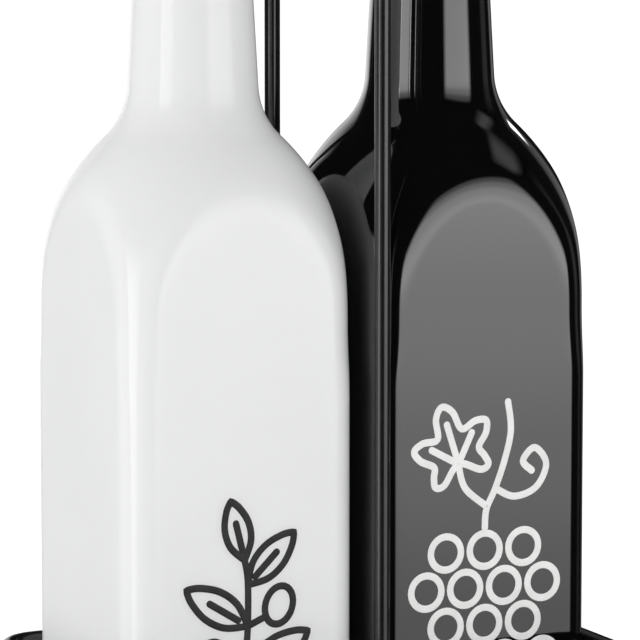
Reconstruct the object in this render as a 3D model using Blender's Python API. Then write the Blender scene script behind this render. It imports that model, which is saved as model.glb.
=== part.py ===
"""Cruet set: two square bottles with steel pourers, standing in a wire caddy with a loop handle.

Metres, +Z up. The origin is on the table, under the middle of the caddy.
The bottles stand side by side along X, and -Y is the front.
"""
from math import atan2, cos, hypot, pi, radians, sin, sqrt, tan

import bmesh
import bpy
from mathutils import Matrix, Vector

GAP = 0.0003                    # air between two pieces that touch
PAST = 0.002                    # how far a cutter reaches past what it cuts

# Bottle body and shoulder
BODY_WIDTH = 0.060              # across the flats
BODY_CORNER = 0.0075            # radius of the upright edges
BASE_EDGE = 0.004               # radius between the base and the sides
PUNT_DEPTH = 0.0025             # hollow under the base
PUNT_RADIUS = 0.020
PUNT_RING = 0.012               # radius and depth of a point on the hollow's curve
PUNT_RING_DEPTH = 0.0019
GLASS = 0.0028                  # wall
FLOOR_GLASS = 0.005             # thickness of the bottle's floor
SHOULDER_HEIGHT = 0.146         # where the domed shoulder starts
SHOULDER_RADIUS = 0.060         # of the dome's side view
DOME_OVER = 0.0002              # how far the dome's foot clears the square's corners
THROAT_RADIUS = 0.018           # hollow curve from the shoulder into the neck
ARCH_BLEND = 0.0025             # softness of the arches where the dome meets the flats
BLEND_DROP = 0.018              # how far below the shoulder that softness starts
FACET_GATHER = 0.1              # draws the facets towards the upright edges
SHARPEST = 0.0005               # smallest radius left on an upright edge

# Bottle neck and mouth
BOTTLE_HEIGHT = 0.256
NECK_TOP_RADIUS = 0.0132
NECK_TAPER = radians(3.2)
MOUTH_BEAD = 0.0018             # how far the bead stands out from the neck
BEAD_BELLY = 0.0002             # swelling at the bead's middle
LIP_EDGE = 0.0015               # chamfer round the top of the bead
MOUTH_HEIGHT = 0.009
BORE_RADIUS = 0.0093            # of the mouth, where the stopper sits
BORE_DEPTH = 0.028
BORE_LEAD = 0.004               # slope from the neck's inside to the bore

# Pourer
STOPPER_LENGTH = 0.024
STOPPER_RIBS = 5
RIB_DEPTH = 0.0006
STOPPER_NOSE = 0.0010           # chamfer at the stopper's lower end
COLLAR_OVER = 0.0002            # how far the collar stands out past the neck
COLLAR_HEIGHT = 0.0062
COLLAR_EDGE = 0.0006
COLLAR_RIM = 0.0024             # height of the wide part, and its step in to the hub
COLLAR_STEP = 0.0050
SPOUT_RADIUS = 0.0040
SPOUT_TIP_RADIUS = 0.0032
SPOUT_BORE = 0.0027
SPOUT_RISE = 0.010              # straight part above the mouth
SPOUT_BEND = 0.022
SPOUT_LEAN = radians(50)
SPOUT_REACH = 0.022             # straight part after the bend
AIR_TUBE_RADIUS = 0.0011
AIR_TUBE_BORE = 0.0006
TUBE_SPACE = 0.0012             # between the spout and the air tube
AIR_TUBE_BELOW = 0.010          # below the stopper
AIR_TUBE_RISE = 0.006           # above the collar
AIR_TUBE_BEND = 0.004
AIR_TUBE_LEAN = radians(60)

# Flap over the spout's tip
BRACKET_WALL = 0.0008
BRACKET_LENGTH = 0.006
BRACKET_SETBACK = 0.002         # from the tip
EAR_ROOT = 0.002                # where the ears start, from the spout's axis
EAR_RADIUS = 0.0018             # round the hinge pin
KNUCKLE_RADIUS = 0.0021
KNUCKLE_WIDTH = 0.0050
ARM_WIDTH = 0.0046
LEVER_WIDTH = 0.0040
PIN_RADIUS = 0.0008
PIN_HEAD_RADIUS = 0.0014
PIN_HEAD = 0.0007
LID_OVERHANG = 0.0014           # of the lid past the spout's tip
LID_THICKNESS = 0.0010
ARM_THICKNESS = 0.0016
ARM_CUT = 0.0012                # corners taken off the arm
ARM_LAP = 0.0012                # of the arm onto the lid
LEVER_LENGTH = 0.0070
LEVER_ANGLE = radians(130)      # from the spout's axis

# Caddy
RING_WIRE = 0.0040
POST_WIRE = 0.0036
FLOOR_WIRE = 0.0030
DIVIDER_WIRE = 0.0024
HANDLE_WIRE = 0.0039
BOTTLE_PLAY = 0.0019            # from each bottle to the middle of the caddy
END_PLAY = 0.0031               # from a bottle to the ring at the caddy's ends
SIDE_PLAY = 0.0090              # from a bottle to the ring at front and back
RING_CORNER = 0.010             # bend radius on the wire's centre line
RIM_HEIGHT = 0.0715             # of the upper ring's centre line
HANDLE_ABOVE_MOUTH = 0.0681     # room for the fingers over the bottles
HANDLE_BEND = 0.022
HANDLE_PLAY = 0.0004            # from a bottle's rounded edge to the handle's leg
FLOOR_WIRES_PER_BOTTLE = 3
FLOOR_WIRE_INSET = 0.013        # from a bottle's side to its outer floor wires
CORNER_POST_INSET = 0.012       # from the caddy's ends

# Rubber feet under the lower ring
FOOT_INSET = 0.020              # from the caddy's ends
FOOT_RADIUS = 0.0060
FOOT_HEIGHT = 0.0060
FOOT_SOLE = 0.0030              # rubber under the wire
FOOT_EDGE = 0.0010

# Facets
BODY_STEPS = 40
TURNED_STEPS = 20
SMALL_STEPS = 12
BEND_STEPS = 5

# Worked out from the sizes above
BODY_HALF = BODY_WIDTH / 2
CORNER_REACH = (BODY_HALF - BODY_CORNER) * sqrt(2) + BODY_CORNER
DOME_CENTRE = Vector((CORNER_REACH + DOME_OVER - SHOULDER_RADIUS, SHOULDER_HEIGHT))
BOTTLE_X = BODY_HALF + BOTTLE_PLAY
RING_HALF_X = BOTTLE_X + BODY_HALF + END_PLAY + RING_WIRE / 2
RING_HALF_Y = BODY_HALF + SIDE_PLAY + RING_WIRE / 2
RING_BOTTOM = FOOT_SOLE + GAP + RING_WIRE / 2
FLOOR_WIRE_Z = RING_BOTTOM + RING_WIRE / 2 + GAP + FLOOR_WIRE / 2
BOTTLE_Z = FLOOR_WIRE_Z + FLOOR_WIRE / 2 + GAP
HANDLE_X = max(DIVIDER_WIRE, FLOOR_WIRE) / 2 + GAP + HANDLE_WIRE / 2
HANDLE_HALF_SPAN = (BODY_HALF - BODY_CORNER
                    + sqrt((BODY_CORNER + HANDLE_PLAY + HANDLE_WIRE / 2) ** 2
                           - (BOTTLE_PLAY + BODY_CORNER - HANDLE_X) ** 2))
HANDLE_HEIGHT = BOTTLE_Z + BOTTLE_HEIGHT + HANDLE_ABOVE_MOUTH
FLOOR_WIRE_PITCH = (BODY_HALF - FLOOR_WIRE_INSET) / ((FLOOR_WIRES_PER_BOTTLE - 1) / 2)
STOPPER_RIB = BORE_RADIUS - GAP
STOPPER_CORE = STOPPER_RIB - RIB_DEPTH
COLLAR_RADIUS = NECK_TOP_RADIUS + COLLAR_OVER
AIR_TUBE_OFFSET = SPOUT_RADIUS + TUBE_SPACE + AIR_TUBE_RADIUS
LID_RADIUS = SPOUT_TIP_RADIUS + LID_OVERHANG
PIN_SETBACK = BRACKET_SETBACK + BRACKET_LENGTH / 2
BRACKET_RADIUS = SPOUT_TIP_RADIUS + 2 * GAP + BRACKET_WALL
PIN_OFFSET = BRACKET_RADIUS + GAP + KNUCKLE_RADIUS
EAR_INSIDE = KNUCKLE_WIDTH / 2 + 2 * GAP


# ---------------------------------------------------------------- materials

def material(name, colour, roughness, metallic):
    made = bpy.data.materials.new(name)
    made.use_nodes = True
    shader = made.node_tree.nodes["Principled BSDF"]
    shader.inputs["Base Color"].default_value = (*colour, 1)
    shader.inputs["Roughness"].default_value = roughness
    shader.inputs["Metallic"].default_value = metallic
    return made


def make_materials():
    return {
        "white_glass": material("white_glass", (0.82, 0.83, 0.82), 0.08, 0),
        "black_glass": material("black_glass", (0.012, 0.012, 0.013), 0.06, 0),
        "black_wire": material("black_wire", (0.015, 0.015, 0.016), 0.25, 0.2),
        "steel": material("steel", (0.62, 0.62, 0.60), 0.22, 1),
        "rubber": material("rubber", (0.03, 0.03, 0.03), 0.7, 0),
    }


# ---------------------------------------------------------------- helpers

def add(name, data, finish, parent=None, place=None):
    """Put a mesh or curve in the scene, under its parent."""
    made = bpy.data.objects.new(name, data)
    if finish:
        data.materials.append(finish)
    made.parent = parent
    if place is not None:
        made.matrix_local = place
    bpy.context.scene.collection.objects.link(made)
    return made


def empty(name, place, parent=None):
    """A joint's axis or another frame that pieces hang from."""
    return add(name, None, None, parent, place)


def mesh_from(name, bm):
    bmesh.ops.recalc_face_normals(bm, faces=bm.faces)
    mesh = bpy.data.meshes.new(name)
    bm.to_mesh(mesh)
    bm.free()
    mesh.shade_smooth()
    mesh.set_sharp_from_angle(angle=radians(35))
    return mesh


def turned_bmesh(outline, steps):
    """Spin an outline of (radius, z) points about Z."""
    bm = bmesh.new()
    verts = [bm.verts.new((r, 0, z)) for r, z in outline]
    edges = [bm.edges.new(pair) for pair in zip(verts, verts[1:])]
    bmesh.ops.spin(bm, geom=verts + edges, cent=(0, 0, 0), axis=(0, 0, 1), angle=2 * pi,
                   steps=steps, use_merge=True)
    bmesh.ops.remove_doubles(bm, verts=bm.verts, dist=1e-6)
    return bm


def turned(name, outline, finish, parent=None, place=None, steps=TURNED_STEPS):
    return add(name, mesh_from(name, turned_bmesh(outline, steps)), finish, parent, place)


def rod(name, radius, low, high, finish, parent=None, place=None, steps=SMALL_STEPS):
    """A straight round bar along Z, from low to high."""
    outline = [(0, low), (radius, low), (radius, high), (0, high)]
    return turned(name, outline, finish, parent, place, steps)


def slab(name, outline, half_width, finish, parent=None, place=None):
    """Extrude an outline of (x, z) points to both sides of the XZ plane."""
    bm = bmesh.new()
    face = bm.faces.new([bm.verts.new((x, -half_width, z)) for x, z in outline])
    side = bmesh.ops.extrude_face_region(bm, geom=[face])
    moved = [item for item in side["geom"] if isinstance(item, bmesh.types.BMVert)]
    bmesh.ops.translate(bm, verts=moved, vec=(0, 2 * half_width, 0))
    return add(name, mesh_from(name, bm), finish, parent, place)


def combine(target, tool, operation):
    """Join a solid to the target or cut it away, and keep the tool as a guide."""
    tool.hide_render = True
    tool.display_type = "WIRE"
    step = target.modifiers.new(tool.name, "BOOLEAN")
    step.operation = operation
    step.object = tool


def arc(centre, radius, start, end, steps):
    """Points (r, z) along an arc, both ends included."""
    return [(centre[0] + radius * cos(start + (end - start) * i / steps),
             centre[1] + radius * sin(start + (end - start) * i / steps))
            for i in range(steps + 1)]


def bent_path(corners, radius, closed=False, steps=BEND_STEPS):
    """Points along a wire that is bent to one radius at each corner."""
    points = []
    for i, corner in enumerate(corners):
        corner = Vector(corner)
        if not closed and i in (0, len(corners) - 1):
            points.append(corner)
            continue
        before = (Vector(corners[i - 1]) - corner).normalized()
        after = (Vector(corners[(i + 1) % len(corners)]) - corner).normalized()
        half_angle = before.angle(after) / 2
        centre = corner + (before + after).normalized() * radius / sin(half_angle)
        start = corner + before * radius / tan(half_angle) - centre
        end = corner + after * radius / tan(half_angle) - centre
        for step in range(steps + 1):
            turn = Matrix.Rotation((pi - 2 * half_angle) * step / steps, 3, start.cross(end))
            points.append(centre + turn @ start)
    return points


def wire(name, points, diameter, finish, closed=False):
    """A round wire along the points, with flat ends."""
    curve = bpy.data.curves.new(name, "CURVE")
    curve.dimensions = "3D"
    curve.bevel_depth = diameter / 2
    curve.bevel_resolution = 3
    curve.use_fill_caps = True
    spline = curve.splines.new("POLY")
    spline.points.add(len(points) - 1)
    for point, place in zip(spline.points, points):
        point.co = (*place, 1)
    spline.use_cyclic_u = closed
    return add(name, curve, finish)


def pipe(name, points, outer, bore, finish, parent, steps=SMALL_STEPS):
    """A tube along points in the XZ plane; outer gives its radius at each point."""
    bm = bmesh.new()
    walls = list(zip(points, outer)) + [(point, bore) for point in reversed(points)]
    rings = []
    for i, (point, radius) in enumerate(walls):
        index = i if i < len(points) else len(walls) - 1 - i
        ahead = points[min(index + 1, len(points) - 1)] - points[max(index - 1, 0)]
        frame = Matrix.Translation(point) @ Matrix.Rotation(atan2(ahead.x, ahead.z), 4, "Y")
        rings.append(bmesh.ops.create_circle(bm, segments=steps, radius=radius, matrix=frame)["verts"])
    for near, far in zip(rings, rings[1:] + rings[:1]):
        for k in range(steps):
            bm.faces.new((near[k - 1], near[k], far[k], far[k - 1]))
    return add(name, mesh_from(name, bm), finish, parent)


# ---------------------------------------------------------------- bottles

def soft_min(a, b, blend):
    overlap = max(blend - abs(a - b), 0) / blend
    return min(a, b) - overlap * overlap * blend / 4


def square_reach(angle, half, corner):
    """From the axis to a rounded square's outline, in the direction of angle."""
    across, along = sorted((abs(cos(angle)), abs(sin(angle))))
    if half * across / along <= half - corner:
        return half / along
    inner = half - corner
    middle = inner * (across + along)
    return middle + sqrt(middle ** 2 - 2 * inner ** 2 + corner ** 2)


def throat_centre():
    """Centre of the curve that touches both the dome and the neck's slanting side."""
    upward = Vector((-sin(NECK_TAPER), cos(NECK_TAPER)))
    outward = Vector((cos(NECK_TAPER), sin(NECK_TAPER)))
    neck_top = Vector((NECK_TOP_RADIUS, BOTTLE_HEIGHT - MOUTH_HEIGHT))
    start = neck_top + outward * THROAT_RADIUS - DOME_CENTRE
    reach = SHOULDER_RADIUS + THROAT_RADIUS
    along = -start.dot(upward)
    slide = along + sqrt(along ** 2 - start.length_squared + reach ** 2)
    return neck_top + outward * THROAT_RADIUS + upward * slide


def shoulder_outline(wall):
    """Dome, throat and neck of the wall's outer side (0) or inner side (GLASS)."""
    centre = throat_centre()
    towards = centre - DOME_CENTRE
    meet = atan2(towards.y, towards.x)
    drops = [BLEND_DROP * share for share in (1, 2 / 3, 1 / 3)]
    outline = [(DOME_CENTRE.x + SHOULDER_RADIUS - wall + drop ** 2 / (2 * SHOULDER_RADIUS),
                SHOULDER_HEIGHT - drop) for drop in drops]
    outline += arc(DOME_CENTRE, SHOULDER_RADIUS - wall, 0, meet, 8)
    outline += arc(centre, THROAT_RADIUS + wall, meet + pi, pi + NECK_TAPER, 4)[1:]
    outline.append((NECK_TOP_RADIUS - wall, BOTTLE_HEIGHT - MOUTH_HEIGHT))
    return outline


def press(bm, half, corner, floor, edge):
    """Press a turned blank into a square mould, with a rounded edge at its floor."""
    for vert in bm.verts:
        x, y, z = vert.co
        if hypot(x, y) < 1e-6:
            continue
        angle = atan2(y, x)
        angle += FACET_GATHER * sin(4 * angle)
        inset = edge - sqrt(max(edge ** 2 - max(floor + edge - z, 0) ** 2, 0))
        reach = square_reach(angle, half - inset, max(corner - inset, SHARPEST))
        radius = soft_min(reach, hypot(x, y), ARCH_BLEND)
        vert.co = (radius * cos(angle), radius * sin(angle), z)


def edge_levels(floor, edge):
    return [floor + edge * (1 - cos(pi / 2 * share)) for share in (0, 0.5, 1)]


def bottle(name, finish, parent):
    """A hollow bottle, open at the mouth."""
    blank = CORNER_REACH + 2 * ARCH_BLEND
    outline = [(0, PUNT_DEPTH), (PUNT_RING, PUNT_RING_DEPTH), (PUNT_RADIUS, 0)]
    outline += [(blank, z) for z in edge_levels(0, BASE_EDGE)]
    outline += shoulder_outline(0)
    bead = NECK_TOP_RADIUS + MOUTH_BEAD
    lip = BOTTLE_HEIGHT - MOUTH_HEIGHT
    outline += [(bead, lip + MOUTH_BEAD / 2), (bead + BEAD_BELLY, lip + MOUTH_HEIGHT / 2),
                (bead, BOTTLE_HEIGHT - LIP_EDGE), (bead - LIP_EDGE, BOTTLE_HEIGHT), (0, BOTTLE_HEIGHT)]
    shell = turned_bmesh(outline, BODY_STEPS)
    press(shell, BODY_HALF, BODY_CORNER, 0, BASE_EDGE)
    made = add(name, mesh_from(name, shell), finish, parent)

    inside = [(0, FLOOR_GLASS)]
    inside += [(blank, z) for z in edge_levels(FLOOR_GLASS, BASE_EDGE)]
    inside += shoulder_outline(GLASS)[:-1]
    neck_end = BOTTLE_HEIGHT - BORE_DEPTH
    taper = (BORE_DEPTH - MOUTH_HEIGHT + BORE_LEAD) * tan(NECK_TAPER)
    inside += [(NECK_TOP_RADIUS - GLASS + taper, neck_end - BORE_LEAD), (BORE_RADIUS, neck_end),
               (BORE_RADIUS, BOTTLE_HEIGHT + PAST), (0, BOTTLE_HEIGHT + PAST)]
    hollow = turned_bmesh(inside, BODY_STEPS)
    press(hollow, BODY_HALF - GLASS, BODY_CORNER - GLASS, FLOOR_GLASS, BASE_EDGE)
    combine(made, add(name + "_hollow", mesh_from(name + "_hollow", hollow), None, parent),
            "DIFFERENCE")
    return made


# ---------------------------------------------------------------- pourers

def stopper(name, finish, parent):
    """Ribbed rubber plug in the bottle's mouth, bored for the spout and the air tube."""
    quarter = STOPPER_LENGTH / STOPPER_RIBS / 4
    outline = [(0, -STOPPER_LENGTH), (STOPPER_CORE - STOPPER_NOSE, -STOPPER_LENGTH)]
    for i in range(STOPPER_RIBS):
        base = -STOPPER_LENGTH + i * 4 * quarter
        outline += [(STOPPER_CORE, base + quarter), (STOPPER_RIB, base + 2 * quarter),
                    (STOPPER_RIB, base + 3 * quarter)]
    outline += [(STOPPER_CORE, 0), (0, 0)]
    made = turned(name, outline, finish, parent)
    bore_for_tubes(made, -STOPPER_LENGTH, 0, parent)
    return made


def collar(name, finish, parent):
    """Steel cap that seats on the bottle's lip and holds the two tubes."""
    top = COLLAR_HEIGHT
    rim = COLLAR_RIM
    hub = COLLAR_RADIUS - COLLAR_STEP
    outline = [(0, GAP), (COLLAR_RADIUS - COLLAR_EDGE, GAP), (COLLAR_RADIUS, GAP + COLLAR_EDGE),
               (COLLAR_RADIUS - COLLAR_EDGE, rim), (hub + 2 * COLLAR_EDGE, rim + COLLAR_EDGE),
               (hub, rim + 3 * COLLAR_EDGE), (hub, top - COLLAR_EDGE), (hub - COLLAR_EDGE, top), (0, top)]
    made = turned(name, outline, finish, parent)
    bore_for_tubes(made, GAP, top, parent)
    return made


def bore_for_tubes(solid, low, high, parent):
    """Holes for the spout and the air tube, from below low to above high."""
    for tube, radius, x in (("spout", SPOUT_RADIUS, 0), ("air", AIR_TUBE_RADIUS, -AIR_TUBE_OFFSET)):
        hole = rod(f"{solid.name}_{tube}_hole", radius + GAP, low - PAST, high + PAST, None,
                   parent, Matrix.Translation((x, 0, 0)))
        combine(solid, hole, "DIFFERENCE")


def spout_points():
    bend = [Vector((SPOUT_BEND * (1 - cos(SPOUT_LEAN * i / 6)), 0,
                    SPOUT_RISE + SPOUT_BEND * sin(SPOUT_LEAN * i / 6))) for i in range(7)]
    outward = Vector((sin(SPOUT_LEAN), 0, cos(SPOUT_LEAN)))
    return [Vector((0, 0, -STOPPER_LENGTH))] + bend + [bend[-1] + outward * SPOUT_REACH]


def spout(name, finish, parent):
    """Bent steel tube that narrows towards its tip."""
    points = spout_points()
    shares = [max(i - 1, 0) / (len(points) - 2) for i in range(len(points))]
    outer = [SPOUT_RADIUS + (SPOUT_TIP_RADIUS - SPOUT_RADIUS) * share for share in shares]
    return pipe(name, points, outer, SPOUT_BORE, finish, parent)


def air_tube(name, finish, parent):
    """Thin tube that lets air into the bottle while it pours."""
    rise = COLLAR_HEIGHT + AIR_TUBE_RISE
    back = Vector((-sin(AIR_TUBE_LEAN), 0, cos(AIR_TUBE_LEAN))) * 2 * AIR_TUBE_BEND
    elbow = Vector((-AIR_TUBE_OFFSET, 0, rise))
    foot = Vector((-AIR_TUBE_OFFSET, 0, -STOPPER_LENGTH - AIR_TUBE_BELOW))
    points = bent_path([foot, elbow, elbow + back], AIR_TUBE_BEND, steps=4)
    return pipe(name, points, [AIR_TUBE_RADIUS] * len(points), AIR_TUBE_BORE, finish, parent, 8)


def flap_bracket(name, finish, parent):
    """Band round the spout with two ears for the hinge pin; local Z runs out of the tip."""
    low = -BRACKET_SETBACK - BRACKET_LENGTH
    made = rod(name, BRACKET_RADIUS, low, -BRACKET_SETBACK, finish, parent, steps=16)
    for side in (-1, 1):
        middle = side * (EAR_INSIDE + BRACKET_WALL / 2)
        plate = slab(f"{name}_plate_{side + 1}",
                     [(-EAR_ROOT, -PIN_SETBACK - KNUCKLE_RADIUS), (-EAR_ROOT, -PIN_SETBACK + KNUCKLE_RADIUS),
                      (-PIN_OFFSET, -PIN_SETBACK + EAR_RADIUS), (-PIN_OFFSET - EAR_RADIUS, -PIN_SETBACK),
                      (-PIN_OFFSET, -PIN_SETBACK - EAR_RADIUS)],
                     BRACKET_WALL / 2, None, parent, Matrix.Translation((0, middle, 0)))
        combine(made, plate, "UNION")
    hole = rod(name + "_bore", BRACKET_RADIUS - BRACKET_WALL, low - PAST, PAST, None, parent, steps=16)
    combine(made, hole, "DIFFERENCE")
    combine(made, pin_hole(name, parent), "DIFFERENCE")
    return made


def pin_place():
    """The hinge pin's frame under the spout's tip: its Z runs along the pin."""
    return (Matrix.Translation((-PIN_OFFSET, 0, -PIN_SETBACK))
            @ Matrix.Rotation(radians(90), 4, "X"))


def pin_hole(name, parent):
    reach = EAR_INSIDE + 2 * BRACKET_WALL
    return rod(name + "_pin_hole", PIN_RADIUS + GAP, -reach, reach, None, parent, pin_place())


def flap_pin(name, finish, parent):
    """Headed pin through both ears."""
    head = EAR_INSIDE + BRACKET_WALL + GAP
    outline = [(0, -head - PIN_HEAD), (PIN_HEAD_RADIUS, -head - PIN_HEAD), (PIN_HEAD_RADIUS, -head),
               (PIN_RADIUS, -head), (PIN_RADIUS, head), (PIN_HEAD_RADIUS, head),
               (PIN_HEAD_RADIUS, head + PIN_HEAD), (0, head + PIN_HEAD)]
    return turned(name, outline, finish, parent, pin_place(), SMALL_STEPS)


def flap(name, finish, parent):
    """Lid over the spout's tip, with a knuckle on the pin and a thumb lever behind it."""
    pin = Vector((-PIN_OFFSET, -PIN_SETBACK))
    made = rod(name, LID_RADIUS, GAP, GAP + LID_THICKNESS, finish, parent, steps=16)
    lid_top = GAP + LID_THICKNESS
    lap = ARM_LAP - LID_RADIUS
    outside = pin.x - KNUCKLE_RADIUS
    inside = outside + ARM_THICKNESS
    arm = slab(name + "_arm",
               [(lap, GAP), (lap, lid_top), (outside + ARM_CUT, lid_top), (outside, lid_top - ARM_CUT),
                (outside, pin.y), (inside, pin.y), (inside, GAP - ARM_CUT), (inside + ARM_CUT, GAP)],
               ARM_WIDTH / 2, None, parent)
    knuckle = rod(name + "_knuckle", KNUCKLE_RADIUS, -KNUCKLE_WIDTH / 2, KNUCKLE_WIDTH / 2, None,
                  parent, pin_place(), 16)
    outward = Vector((-sin(LEVER_ANGLE), cos(LEVER_ANGLE)))
    across = Vector((outward.y, -outward.x)) * ARM_THICKNESS / 2
    tip = pin + outward * LEVER_LENGTH
    lever = slab(name + "_lever", [pin + across, tip + across, tip - across, pin - across],
                 LEVER_WIDTH / 2, None, parent)
    for solid in (arm, knuckle, lever):
        combine(made, solid, "UNION")
    combine(made, pin_hole(name, parent), "DIFFERENCE")
    return made


def pourer(prefix, finishes, parent):
    """Everything that pulls out of the bottle's mouth; the parent is at the mouth's centre."""
    steel = finishes["steel"]
    stopper(prefix + "_stopper", finishes["rubber"], parent)
    collar(prefix + "_collar", steel, parent)
    spout(prefix + "_spout", steel, parent)
    air_tube(prefix + "_air_tube", steel, parent)
    tip = empty(prefix + "_spout_tip", Matrix.Translation(spout_points()[-1])
                @ Matrix.Rotation(SPOUT_LEAN, 4, "Y"), parent)
    flap_bracket(prefix + "_flap_bracket", steel, tip)
    flap_pin(prefix + "_flap_pin", steel, tip)
    hinge = empty(prefix + "_flap_axis", Matrix.Translation((-PIN_OFFSET, 0, -PIN_SETBACK)), tip)
    lid_frame = empty(prefix + "_lid_frame", Matrix.Translation((PIN_OFFSET, 0, PIN_SETBACK)), hinge)
    flap(prefix + "_flap", steel, lid_frame)


def bottles(finishes):
    for prefix, side, glass in (("oil", -1, "white_glass"), ("vinegar", 1, "black_glass")):
        axis = empty(prefix + "_bottle_axis", Matrix.Translation((side * BOTTLE_X, 0, BOTTLE_Z)))
        bottle(prefix + "_bottle", finishes[glass], axis)
        facing = Matrix.Rotation(0 if side > 0 else pi, 4, "Z")
        mouth = empty(prefix + "_mouth", Matrix.Translation((0, 0, BOTTLE_HEIGHT)) @ facing, axis)
        pourer(prefix, finishes, mouth)


# ---------------------------------------------------------------- caddy

def ring(name, height, finish):
    corners = [(x * RING_HALF_X, y * RING_HALF_Y, height) for x, y in ((1, 1), (-1, 1), (-1, -1), (1, -1))]
    wire(name, bent_path(corners, RING_CORNER, closed=True), RING_WIRE, finish, closed=True)


def caddy(finishes):
    black = finishes["black_wire"]
    ring("lower_ring", RING_BOTTOM, black)
    ring("upper_ring", RIM_HEIGHT, black)

    low = RING_BOTTOM + RING_WIRE / 2 + GAP
    high = RIM_HEIGHT - RING_WIRE / 2 - GAP
    corner_x = RING_HALF_X - CORNER_POST_INSET
    posts = {"post_front_left": (-corner_x, -RING_HALF_Y), "post_front_right": (corner_x, -RING_HALF_Y),
             "post_back_left": (-corner_x, RING_HALF_Y), "post_back_right": (corner_x, RING_HALF_Y),
             "post_left": (-RING_HALF_X, 0), "post_right": (RING_HALF_X, 0)}
    for name, (x, y) in posts.items():
        wire(name, [(x, y, low), (x, y, high)], POST_WIRE, black)

    middle = (FLOOR_WIRES_PER_BOTTLE - 1) / 2
    crossings = [side * BOTTLE_X + (i - middle) * FLOOR_WIRE_PITCH
                 for side in (-1, 1) for i in range(FLOOR_WIRES_PER_BOTTLE)]
    for number, x in enumerate(sorted(crossings + [0]), 1):
        wire(f"floor_wire_{number}", [(x, -RING_HALF_Y, FLOOR_WIRE_Z), (x, RING_HALF_Y, FLOOR_WIRE_Z)],
             FLOOR_WIRE, black)

    reach = RING_HALF_Y - RING_WIRE / 2 - GAP
    wire("divider_wire", [(0, -reach, RIM_HEIGHT), (0, reach, RIM_HEIGHT)], DIVIDER_WIRE, black)

    span = HANDLE_HALF_SPAN
    top = HANDLE_HEIGHT - HANDLE_WIRE / 2
    legs = [(HANDLE_X, -span, RING_BOTTOM), (HANDLE_X, -span, top), (HANDLE_X, span, top),
            (HANDLE_X, span, RING_BOTTOM)]
    wire("handle", bent_path(legs, HANDLE_BEND, steps=8), HANDLE_WIRE, black)


def feet(finishes):
    """Four rubber feet clipped to the lower ring's long sides."""
    x = RING_HALF_X - FOOT_INSET
    outline = [(0, 0), (FOOT_RADIUS - FOOT_EDGE, 0), (FOOT_RADIUS, FOOT_EDGE), (FOOT_RADIUS, FOOT_HEIGHT),
               (0, FOOT_HEIGHT)]
    for name, across, along in (("foot_front_left", -1, -1), ("foot_front_right", 1, -1),
                                ("foot_back_left", -1, 1), ("foot_back_right", 1, 1)):
        centre = Matrix.Translation((across * x, along * RING_HALF_Y, 0))
        made = turned(name, outline, finishes["rubber"], None, centre, 16)
        lying = centre @ Matrix.Translation((0, 0, RING_BOTTOM)) @ Matrix.Rotation(radians(90), 4, "Y")
        reach = FOOT_RADIUS + PAST
        combine(made, rod(name + "_channel", RING_WIRE / 2 + GAP, -reach, reach, None, None, lying),
                "DIFFERENCE")


def main():
    for old in list(bpy.data.objects):
        bpy.data.objects.remove(old)
    finishes = make_materials()
    caddy(finishes)
    feet(finishes)
    bottles(finishes)


main()
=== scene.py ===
"""Cruet set: the finished look of two square bottles with steel pourers in a black wire caddy.

Metres, +Z up, in the caddy's own frame: the white oil bottle stands at -X, the black vinegar
bottle at +X, and -Y is the front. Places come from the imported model's own nodes.
"""

from collections import namedtuple
from math import atan2, cos, hypot, pi, radians, sin, sqrt, tan

import bmesh
import bpy
from mathutils import Matrix, Vector, noise


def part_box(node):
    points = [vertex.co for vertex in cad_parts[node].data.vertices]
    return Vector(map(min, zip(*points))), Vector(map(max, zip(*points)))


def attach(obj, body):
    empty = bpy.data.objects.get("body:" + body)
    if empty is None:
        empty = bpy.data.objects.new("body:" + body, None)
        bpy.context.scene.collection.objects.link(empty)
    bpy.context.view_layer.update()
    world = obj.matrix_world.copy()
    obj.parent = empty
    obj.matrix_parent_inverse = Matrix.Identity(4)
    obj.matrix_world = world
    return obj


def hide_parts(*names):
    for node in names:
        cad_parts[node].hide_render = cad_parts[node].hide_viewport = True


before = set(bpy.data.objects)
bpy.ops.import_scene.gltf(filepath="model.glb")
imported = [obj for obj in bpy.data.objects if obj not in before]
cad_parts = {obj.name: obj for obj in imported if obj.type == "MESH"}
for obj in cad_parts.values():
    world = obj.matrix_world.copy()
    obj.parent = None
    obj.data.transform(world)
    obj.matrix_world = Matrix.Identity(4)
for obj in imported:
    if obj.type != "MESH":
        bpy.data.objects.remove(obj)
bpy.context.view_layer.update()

MM = 0.001

# Bottles: the body is a rounded square, the shoulder a dome, the neck a slim cone
BODY_HALF = 30 * MM
BODY_CORNER = 7.5 * MM
BASE_EDGE = 4 * MM
SHARPEST_CORNER = 0.5 * MM
CORNER_GATHER = 0.1
EDGE_STEPS = 8
PUNT_DEPTH = 2.5 * MM
PUNT_RADIUS = 20 * MM
PUNT_STEPS = 12
GLASS = 2.8 * MM
FLOOR_GLASS = 5 * MM
SHOULDER_HEIGHT = 146 * MM
SHOULDER_RADIUS = 60 * MM
THROAT_RADIUS = 18 * MM
DOME_OVER = 0.2 * MM
BLEND_DROP = 20 * MM
DROP_STEPS = 12
DOME_STEPS = 56
THROAT_STEPS = 20
ARCH_BLEND = 3.0 * MM
BOTTLE_HEIGHT = 256 * MM
NECK_TOP_RADIUS = 13.2 * MM
NECK_TAPER = radians(3.2)
MOUTH_BEAD = 1.8 * MM
MOUTH_HEIGHT = 9 * MM
MOUTH_ROUND = 1.1 * MM
LIP_EDGE = 1.5 * MM
LIP_INSIDE = 1.2 * MM
BORE_RADIUS = 9.3 * MM
BORE_DEPTH = 28 * MM
BORE_RUN_IN = 4 * MM
BORE_LEAD = 0.8 * MM
BORE_FLARE = 0.3 * MM
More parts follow.
